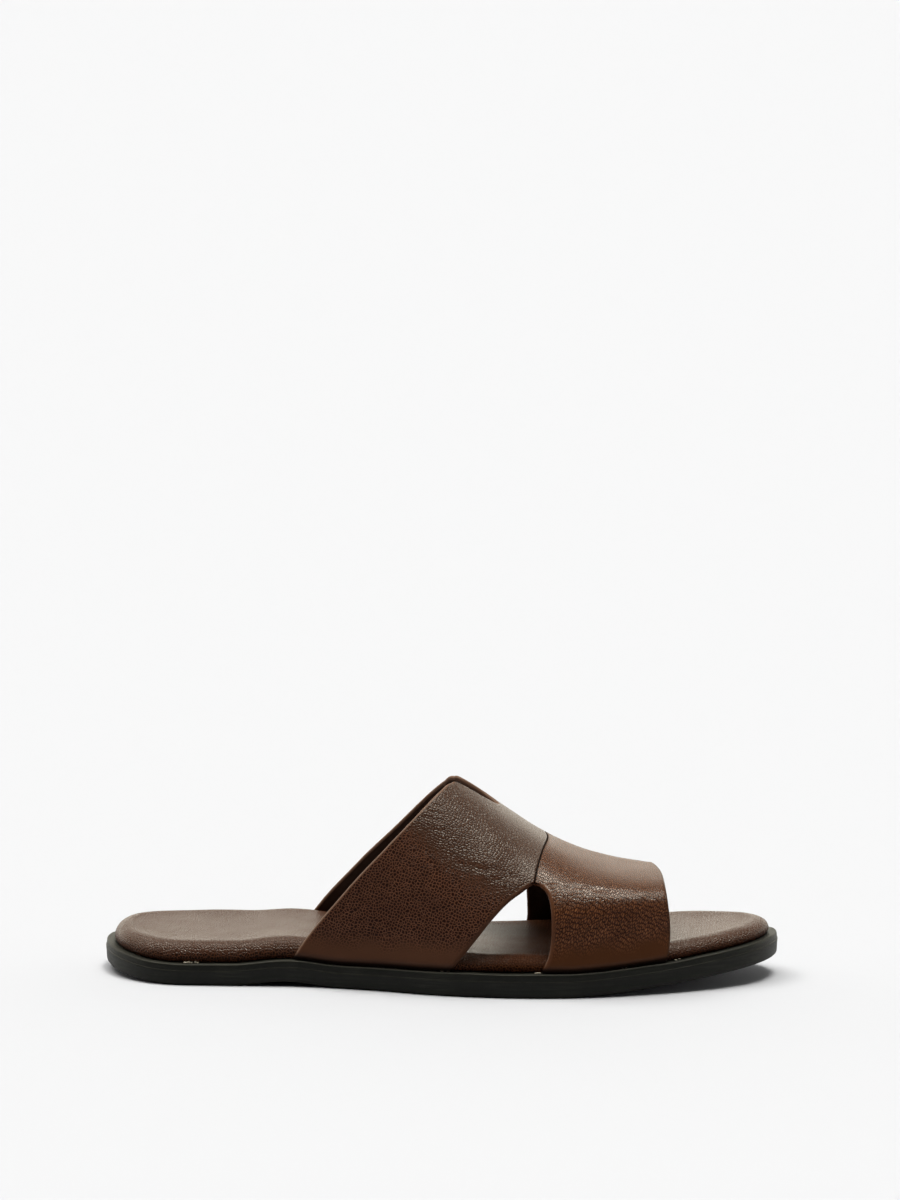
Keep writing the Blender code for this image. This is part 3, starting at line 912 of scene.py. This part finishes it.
def rubber_bloom(nodes, place):
    """Faint lighter streaks along the rubber, in patches."""
    patches = nodes.noise(place, BLOOM_PATCH_SCALE, detail=3.0)
    streaks = nodes.noise(nodes.vector("MULTIPLY", place, BLOOM_STREAKS), scale=1.0)
    return nodes.math(
        "MULTIPLY", nodes.ramp(patches, *BLOOM_PATCH_RANGE), nodes.ramp(streaks, *BLOOM_STREAK_RANGE))


def plain(name, look, lighter=None):
    """Plain material with fine relief.  It is lighter where the relief is high, or as lighter() says."""
    material, nodes = new_material(name)
    place = nodes.millimetres()
    fine = nodes.noise(place, look.scale, look.detail)
    share = lighter(nodes, place) if lighter else fine
    nodes.finish(nodes.add("BsdfPrincipled", {
        "Base Color": nodes.blend(share, look.dark, look.light),
        "Roughness": nodes.ramp(fine, *FINE_RANGE, look.smoothest, look.roughest),
        "Normal": nodes.bump(fine, look.depth),
        "Specular IOR Level": look.specular,
    }))
    return material


# Pieces

def build_outsole():
    """Rubber sole: rings round its side, closed above and below."""
    rings = []
    for row in SOLE_SIDE:
        x, y = plan_ring(row.inset)
        raised = smooth_step((row.rise - RIM_WAVE_FROM) / (1 - RIM_WAVE_FROM))
        wave = RIM_WAVE * ripple(x, y, RIM_WAVE_LENGTH, RIM_SEED) * raised
        z = sole_bottom(x) + row.rise * sole_thickness(x) - np.abs(wave) * row.rise
        rings.append(np.stack([x, y, z], axis=1))
    faces = ring_faces(len(rings), PLAN_POINTS)
    faces += cap_faces(0, PLAN_POINTS, upward=False)
    faces += cap_faces((len(rings) - 1) * PLAN_POINTS, PLAN_POINTS, upward=True)
    material = plain("sole_rubber", RUBBER, rubber_bloom)
    return mesh_object("outsole_rubber", np.concatenate(rings), faces, [material])


def gather(x, y, rise):
    """How far the footbed's cover is drawn in at its gathers."""
    along = length_along(x, y)
    total = np.zeros_like(x)
    for row in GATHERS:
        middle = (row.x_from + row.x_to) / 2
        half = (row.x_to - row.x_from) / 2
        weight = smooth_step((half - np.abs(x - middle)) / GATHER_FADE)
        phase = along + row.slant * rise
        for sway in GATHER_SWAYS:
            phase = phase + sway.reach * np.sin(along / sway.length)
        total += row.depth * weight * (1 - np.sin(math.tau * phase / row.pitch)) / 2
    return total


def build_footbed():
    """Padded board: a tucked foot, a rolled and gathered edge, and a soft upper face."""
    rings = []
    flats = []
    for step in range(FOOTBED_TUCK_STEPS):
        share = step / FOOTBED_TUCK_STEPS
        x, y = plan_ring(RIM_WIDTH + FOOTBED_TUCK * (1 - math.sin(share * math.pi / 2)))
        rise = PIECE_GAP + (FOOTBED_TUCK_HEIGHT - PIECE_GAP) * share
        rings.append(np.stack([x, y, sole_top(x) + rise], axis=1))
        flats.append(np.stack(plan_ring(RIM_WIDTH + rise - FOOTBED_SIDE_LENGTH), axis=1))
    foot = plan_ring(RIM_WIDTH)
    for step in range(FOOTBED_EDGE_STEPS + 1):
        turn = math.pi / 2 * step / FOOTBED_EDGE_STEPS
        drawn = gather(*foot, GATHER_HEIGHT * math.sin(turn)) * math.cos(turn) ** GATHER_FALL
        x, y = plan_ring(RIM_WIDTH + FOOTBED_EDGE_ROUND * (1 - math.cos(turn)) + drawn)
        top = footbed_height(x, y)
        rise = FOOTBED_TUCK_HEIGHT + (top - FOOTBED_TUCK_HEIGHT) * math.sin(turn)
        wave = FOOTBED_RIPPLE * ripple(x, y, FOOTBED_RIPPLE_LENGTH, FOOTBED_SEED)
        rise = rise + (wave + FOOTBED_LIP) * math.sin(turn) ** 2
        rings.append(np.stack([x, y, sole_top(x) + rise], axis=1))
        left = (FOOTBED_SIDE_LENGTH - FOOTBED_TUCK_HEIGHT) * (1 - step / FOOTBED_EDGE_STEPS)
        flats.append(np.stack(plan_ring(RIM_WIDTH + FOOTBED_EDGE_ROUND - left), axis=1))
    points = np.concatenate(rings)
    faces = ring_faces(len(rings), PLAN_POINTS)
    faces += cap_faces(0, PLAN_POINTS, upward=False)
    points, top = top_faces(points, (len(rings) - 1) * PLAN_POINTS)
    thing = mesh_object("footbed_pad", points, faces + top, [leather("footbed_leather", FOOTBED_LEATHER)])
    set_attribute(thing, "grain", np.ones(len(points)))
    set_attribute(thing, "dull", FOOTBED_DULL * bell(points[:, 0] - FOOTBED_DULL_AT, FOOTBED_DULL_LENGTH))
    set_flat(thing, np.concatenate(flats + [points[len(rings) * PLAN_POINTS:, :2]]))
    return thing


def top_faces(points, edge):
    """The points with those of the footbed's upper face added, and that face's rows of faces."""
    half = PLAN_POINTS // 2
    start = points[edge + 1:edge + half]
    end = points[edge + PLAN_POINTS - 1:edge + half:-1]
    share = (np.arange(1, FOOTBED_ACROSS) / FOOTBED_ACROSS)[None, :, None]
    inner = start[:, None] + (end - start)[:, None] * share
    x = inner[..., 0]
    y = inner[..., 1]
    to_edge = np.minimum(
        np.linalg.norm((inner - start[:, None])[..., :2], axis=2),
        np.linalg.norm((inner - end[:, None])[..., :2], axis=2))
    lip = FOOTBED_LIP * bell(to_edge, FOOTBED_LIP_WIDTH)
    wave = FOOTBED_RIPPLE * ripple(x, y, FOOTBED_RIPPLE_LENGTH, FOOTBED_SEED)
    inner[..., 2] = sole_top(x) + footbed_height(x, y) + lip + wave
    rows = []
    for k in range(half - 1):
        own = len(points) + k * (FOOTBED_ACROSS - 1)
        rows.append([edge + k + 1, *range(own, own + FOOTBED_ACROSS - 1), edge + PLAN_POINTS - k - 1])
    faces = []
    for near, far in zip(rows, rows[1:]):
        for j in range(FOOTBED_ACROSS):
            faces.append((near[j], far[j], far[j + 1], near[j + 1]))
    for j in range(FOOTBED_ACROSS):
        faces.append((edge, rows[0][j], rows[0][j + 1]))
        faces.append((rows[-1][j], edge + half, rows[-1][j + 1]))
    return np.concatenate([points, inner.reshape(-1, 3)]), faces


def edge_reach(last, x, girth):
    """Step in x for a millimetre straight in from a strap's edge."""
    along = unit(np.gradient(last.point(x, girth), axis=0))
    ahead = (last.point(x + EDGE_PROBE, girth) - last.point(x - EDGE_PROBE, girth)) / (2 * EDGE_PROBE)
    across = np.linalg.norm(np.cross(ahead, along), axis=1)
    return 1 / np.maximum(across, LEAST_ACROSS)


def crease_relief(last, creases, x, girth):
    """Soft troughs with low ridges beside them, along the creases of a table."""
    arc = last.arc(x, girth)
    total = np.zeros_like(x)
    for row in creases:
        ends_x = np.array([row.x_from, row.x_to])
        ends_girth = np.array([row.girth_from, row.girth_to])
        start, end = np.stack([ends_x, last.arc(ends_x, ends_girth)], axis=1)
        way = end - start
        length = np.hypot(*way)
        way = way / length
        along = (x - start[0]) * way[0] + (arc - start[1]) * way[1]
        aside = (arc - start[1]) * way[0] - (x - start[0]) * way[1]
        aside = aside + CREASE_SWAY * row.width * np.sin(along / (CREASE_SWAY_LENGTH * row.width))
        faded = CREASE_FADE * length
        fade = smooth_step(along / faded) * smooth_step((length - along) / faded)
        trough = bell(aside, row.width)
        ridges = bell(np.abs(aside) - CREASE_RIDGE_AT * row.width, row.width)
        total += row.depth * fade * (CREASE_RIDGE * ridges - trough)
    return total


def strap_faces(columns, size, outer_size):
    """Faces round a strap and over its two ends, and the material of each: 1 is the lining."""
    faces = ring_faces(columns, size)
    kinds = [int(outer_size + ROLL_STEPS <= j < size - ROLL_STEPS) for j in range(size)] * (columns - 1)
    for j in range(outer_size - 1):
        a = (size - j) % size
        b = max(size - j - 1, outer_size - 1)
        for start, turned in ((0, True), ((columns - 1) * size, False)):
            face = tuple(dict.fromkeys([start + j, start + j + 1, start + b, start + a]))
            if len(face) > 2:
                faces.append(face if turned else face[::-1])
                kinds.append(0)
    return faces, kinds


class StrapEdge:
    """A strap's edge at each girth: its x, how free it is, its step inwards and its corners' radii."""

    def __init__(self, last, girth, x, free, border):
        self.border = border
        self.x = x[:, None]
        self.free = free[:, None]
        self.reach = edge_reach(last, x, girth)[:, None]
        self.outer = SEAM_OUTER_ROUND + (STRAP_THICKNESS / 2 - SEAM_OUTER_ROUND) * self.free
        self.inner = SEAM_INNER_ROUND + (STRAP_THICKNESS / 2 - SEAM_INNER_ROUND) * self.free


REAR, FRONT = table(
    "name rows creases seed",
    ("rear_strap", 96, REAR_CREASES, 10),
    ("front_strap", 64, FRONT_CREASES, 11),
)


def build_strap(strap, last, girth, rear, front, materials):
    """A strap as a closed sheet with rounded edges, from its rear and front edges."""
    turn = np.linspace(0, math.pi / 2, ROLL_STEPS + 1)
    inward = 1 - np.sin(turn)[None, :]
    down = 1 - np.cos(turn)[None, :]
    between = np.linspace(0, 1, strap.rows + 1)[None, 1:-1]

    def sheet(rear_round, front_round):
        start = rear.x + rear.reach * rear_round
        end = front.x - front.reach * front_round
        return np.concatenate([
            rear.x + rear.reach * rear_round * inward[:, ::-1],
            start + (end - start) * between,
            front.x - front.reach * front_round * inward,
        ], axis=1)

    def fall(rear_round, front_round):
        level = np.zeros((len(girth), strap.rows - 1))
        return np.concatenate([rear_round * down[:, ::-1], level, front_round * down], axis=1)

    outer_x = sheet(rear.outer, front.outer)
    inner_x = sheet(rear.inner, front.inner)[:, -2:0:-1]
    inner_depth = fall(rear.inner, front.inner)[:, -2:0:-1]
    x = np.concatenate([outer_x, inner_x], axis=1)
    share = np.repeat(girth[:, None], x.shape[1], axis=1)
    outer_girth = share[:, :outer_x.shape[1]]

    # Relief of the outer face, and where it is smooth, rimmed or painted with shade (the seam's groove and
    # the strap's foot)
    from_rear = (outer_x - rear.x) / rear.reach
    from_front = (front.x - outer_x) / front.reach
    arc = last.arc(outer_x, outer_girth)
    above = last.above_base(outer_x, outer_girth)
    relief = crease_relief(last, strap.creases, outer_x, outer_girth)
    relief += STRAP_RIPPLE * ripple(outer_x, arc, STRAP_RIPPLE_LENGTH, strap.seed)
    relief *= smooth_step((np.minimum(from_rear, from_front) - STRAP_THICKNESS / 2) / RELIEF_FADE)
    border, rim, seam = np.zeros((3, *outer_x.shape))
    for edge, distance in ((rear, from_rear), (front, from_front)):
        smooth = edge.free * (1 - smooth_step((distance - edge.border) / BORDER_SOFT))
        # Painted shade in the seam's groove, where the edge is sewn rather than free
        seam = np.maximum(seam, (1 - edge.free) * (1 - smooth_step(distance / SEAM_SHADE_REACH)))
        if edge.border == CUT_BORDER:
            groove = bell(distance - BORDER_GROOVE_AT, BORDER_GROOVE_WIDTH)
            relief -= BORDER_GROOVE_DEPTH * edge.free * groove
            border = np.maximum(border, smooth)
        else:
            rim = np.maximum(rim, smooth)
    # Painted shade along the strap's foot, where it tucks down to the rim
    seam = np.maximum(seam, 1 - smooth_step((above - BASE_SHADE_FULL) / (BASE_SHADE_END - BASE_SHADE_FULL)))

    # Points and faces
    tuck = BASE_TUCK * (1 - smooth_step(above / BASE_TUCK_HEIGHT))
    outer_depth = STRAP_THICKNESS - fall(rear.outer, front.outer) + relief
    outer_depth = outer_depth - tuck * np.clip(outer_depth / STRAP_THICKNESS, 0, 1)
    depth = np.concatenate([outer_depth, inner_depth], axis=1)
    points = last.outside(x, share, depth[..., None])
    faces, kinds = strap_faces(len(girth), x.shape[1], outer_x.shape[1])
    thing = mesh_object(strap.name, points.reshape(-1, 3), faces, materials, kinds)

    # What the leather reads at each point
    uneven = above + BASE_BAND_WAVE * ripple(outer_x, arc, BASE_BAND_WAVE_LENGTH, BASE_BAND_SEED)
    band = 1 - smooth_step((uneven - BASE_BAND_FULL) / (BASE_BAND_END - BASE_BAND_FULL))
    hidden, inner_border, inner_rim = np.zeros((3, *inner_x.shape))
    for edge, rolled in ((front, slice(0, ROLL_STEPS + 1)), (rear, slice(-ROLL_STEPS - 1, None))):
        kept = inner_border if edge.border == CUT_BORDER else inner_rim
        kept[:, rolled] = edge.free
    for field, values, inside in (
        ("border", border, inner_border),
        ("edge", rim, inner_rim),
        ("band", band, hidden),
        ("seam", seam, hidden),
        ("grain", (1 - border) * (1 - rim) * (1 - BASE_BAND_SMOOTH * band) * (1 - seam), hidden),
    ):
        set_attribute(thing, field, np.concatenate([values, inside], axis=1))
    flat = lay_flat(last.outside(outer_x, outer_girth, STRAP_THICKNESS))
    inner_flat = np.repeat(flat[:, -1:], inner_x.shape[1], axis=1)
    set_flat(thing, np.concatenate([flat, inner_flat], axis=1).reshape(-1, 2))
    return thing


def build_straps(last):
    girth = girth_columns()
    rear, front, free = cut_edges(girth)
    all_free = np.ones_like(girth)
    inside = plain("strap_lining", LINING, lining_patches)
    rear_strap = build_strap(
        REAR, last, girth,
        StrapEdge(last, girth, edge_x(COLLAR, girth), all_free, COLLAR_BORDER),
        StrapEdge(last, girth, rear, free, CUT_BORDER),
        [leather("rear_strap_leather", REAR_LEATHER), inside])
    front_strap = build_strap(
        FRONT, last, girth,
        StrapEdge(last, girth, front, free, CUT_BORDER),
        StrapEdge(last, girth, edge_x(TOE_EDGE, girth), all_free, TOE_BORDER),
        [leather("front_strap_leather", FRONT_LEATHER), inside])
    return rear_strap, front_strap


def tube(path, radius, sides, start):
    """Points and faces of a thin closed tube along a path."""
    along = unit(np.gradient(path, axis=0))
    one = unit(np.cross(along, STITCH_ACROSS))
    two = np.cross(along, one)
    turn = np.arange(sides) * math.tau / sides
    circle = one[:, None] * np.cos(turn)[None, :, None] + two[:, None] * np.sin(turn)[None, :, None]
    points = (path[:, None] + radius * circle).reshape(-1, 3)
    faces = ring_faces(len(path), sides, start)
    faces.append(tuple(reversed(range(start, start + sides))))
    end = start + (len(path) - 1) * sides
    faces.append(tuple(range(end, end + sides)))
    return points, faces


def build_seam_thread(last):
    """Short stitches across the butted edges of the two straps."""
    girth = np.linspace(
        -LATERAL_CUT_TOP + STITCH_MARGIN, MEDIAL_CUT_TOP - STITCH_MARGIN, SEAM_LOOKUP_POINTS)
    line = last.point(edge_x(SEAM, girth), girth)
    length = length_along(*line.T)
    places = np.arange(STITCH_PITCH / 2, length[-1], STITCH_PITCH)
    shares = np.interp(places, length, girth)
    lean = STITCH_LEAN / length[-1] * (girth[-1] - girth[0])
    t = np.linspace(-1, 1, STITCH_POINTS)
    depth = STRAP_THICKNESS - STITCH_DEPTH * (STITCH_MIDDLE + (1 - STITCH_MIDDLE) * t ** 2)
    points = []
    faces = []
    count = 0
    for share in shares:
        at = share + lean * t
        x = edge_x(SEAM, at) + STITCH_REACH * t
        path = last.outside(x, at, depth[:, None])
        ring, quads = tube(path, STITCH_RADIUS, STITCH_SIDES, count)
        points.append(ring)
        faces += quads
        count += len(ring)
    return mesh_object("seam_thread", np.concatenate(points), faces, [plain("seam_thread", THREAD)])


def speck(centre, size, random, start):
    """Points and faces of one small uneven lump."""
    points = [centre - (0, 0, size[2])]
    for ring in range(1, SPECK_RINGS):
        rise = -math.cos(math.pi * ring / SPECK_RINGS)
        wide = math.sin(math.pi * ring / SPECK_RINGS)
        for k in range(SPECK_SIDES):
            turn = math.tau * k / SPECK_SIDES
            reach = np.array([wide * math.cos(turn), wide * math.sin(turn), rise]) * size
            points.append(centre + random.uniform(*GLUE_UNEVEN) * reach)
    points.append(centre + (0, 0, size[2]))
    faces = ring_faces(SPECK_RINGS - 1, SPECK_SIDES, start + 1)
    top = start + len(points) - 1
    low = top - SPECK_SIDES
    for k in range(SPECK_SIDES):
        after = (k + 1) % SPECK_SIDES
        faces.append((start, start + 1 + after, start + 1 + k))
        faces.append((low + k, low + after, top))
    return points, faces


def build_glue():
    """Specks of dried glue in the corner of footbed and rim, on the lateral side."""
    random = np.random.default_rng(GLUE_SEED)
    points = []
    faces = []
    for row in GLUE:
        for _ in range(row.count):
            x = row.x + random.uniform(-0.5, 0.5) * row.length
            lateral = plan_sides(RIM_WIDTH - GLUE_OUT + random.uniform(*GLUE_SPREAD), x)[0]
            tall = row.height * random.uniform(*GLUE_TALL)
            centre = np.array([x, float(lateral), float(sole_top(x)) + GLUE_LIFT * tall])
            size = np.array([random.uniform(*GLUE_LONG), random.uniform(*GLUE_WIDE), tall])
            lump, lump_faces = speck(centre, size, random, len(points))
            points += lump
            faces += lump_faces
    return mesh_object("glue_specks", np.array(points), faces, [plain("dried_glue", DRIED_GLUE)])


# Floor, light and camera

FLOOR_HALF = 60.0
FLOOR_COLOUR = (0.450, 0.469, 0.544)
BACKDROP = (0.94, 0.94, 0.94)
LIGHT_TINT = (1.0, 0.96, 0.83)
LIGHT_FRONT = 0.06
LIGHT_BACK = 3.3
LIGHT_BACK_RANGE = (-0.3, 0.5)
LIGHT_OVERHEAD = 0.12
LIGHT_OVERHEAD_RANGE = (0.20, 0.48)
LAMP_WAY = (0.13, 0.10, 0.98)
SIDE_LAMP_WAY = (-0.42, 0.22, 0.88)

# Soft lamps in the sky: full within the inner angle, gone past the outer one, in degrees
LAMPS = table(
    "way strength inner outer",
    (LAMP_WAY, 25.0, 6, 14),
    (LAMP_WAY, 1.6, 14, 30),
    (SIDE_LAMP_WAY, 7.3, 4, 26),
)


def build_floor():
    mesh = bpy.data.meshes.new("floor")
    signs = ((-1, -1), (1, -1), (1, 1), (-1, 1))
    mesh.from_pydata([(a * FLOOR_HALF, b * FLOOR_HALF, 0) for a, b in signs], [], [(0, 1, 2, 3)])
    material, nodes = new_material("floor")
    nodes.finish(nodes.add("BsdfDiffuse", {"Color": FLOOR_COLOUR}))
    mesh.materials.append(material)
    floor = new_object("floor", mesh)


def build_light():
    """A lamp with a halo overhead, a wider and weaker one to its left, a bright back and a dim front."""
    world = bpy.data.worlds.new("studio")
    bpy.context.scene.world = world
    world.use_nodes = True
    nodes = Nodes(world.node_tree)
    way = nodes.add("TexCoord").outputs["Generated"]
    parts = nodes.add("SeparateXYZ", {"Vector": way})
    room = nodes.ramp(parts.outputs["Y"], *LIGHT_BACK_RANGE, LIGHT_FRONT, LIGHT_BACK)
    above = nodes.ramp(parts.outputs["Z"], *LIGHT_OVERHEAD_RANGE, 1.0, LIGHT_OVERHEAD)
    light = nodes.math("MULTIPLY", room, above)
    for lamp in LAMPS:
        toward = nodes.vector("DOT_PRODUCT", way, Vector(lamp.way).normalized())
        inner = math.cos(math.radians(lamp.inner))
        outer = math.cos(math.radians(lamp.outer))
        light = nodes.math("ADD", light, nodes.ramp(toward, outer, inner, 0.0, lamp.strength))
    seen = nodes.add("LightPath").outputs["Is Camera Ray"]
    colour = nodes.blend(seen, nodes.vector("MULTIPLY", light, LIGHT_TINT), BACKDROP)
    shader = nodes.add("Background", {"Color": colour, "Strength": 1.0})
    nodes.add("OutputWorld", {"Surface": shader.outputs["Background"]})


def build_camera():
    a = CAMERA_AZIMUTH
    e = CAMERA_ELEVATION
    back = Vector((math.sin(a) * math.cos(e), -math.cos(a) * math.cos(e), math.sin(e)))
    right = Vector((math.cos(a), math.sin(a), 0.0))
    up = back.cross(right)
    focal = PIXELS_PER_MM * CAMERA_DISTANCE / MM
    data = bpy.data.cameras.new("camera")
    data.sensor_width = SENSOR_WIDTH
    data.lens = focal * SENSOR_WIDTH / IMAGE_HEIGHT
    camera = new_object("camera", data)
    off_centre = Vector((
        (TARGET_PIXEL[0] - IMAGE_WIDTH / 2) / focal, -(TARGET_PIXEL[1] - IMAGE_HEIGHT / 2) / focal, -1.0))
    turn = off_centre.rotation_difference(Vector((0.0, 0.0, -1.0)))
    camera.rotation_mode = "QUATERNION"
    camera.rotation_quaternion = Matrix((right, up, back)).transposed().to_quaternion() @ turn
    camera.location = CAMERA_TARGET + back * CAMERA_DISTANCE
    bpy.context.scene.camera = camera


last = Last()
outsole = build_outsole()
footbed = build_footbed()
rear_strap, front_strap = build_straps(last)
seam_thread = build_seam_thread(last)
glue_specks = build_glue()

for piece, node, slot in (
    (outsole, "outsole", "rubber"),
    (footbed, "footbed", "footbed_leather"),
    (rear_strap, "upper", "upper_leather"),
    (front_strap, "upper", "upper_leather"),
):
    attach(piece, "root")
    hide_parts(node)
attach(seam_thread, "root")
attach(glue_specks, "root")

build_floor()
build_light()
build_camera()
bpy.context.scene.view_settings.view_transform = "Standard"
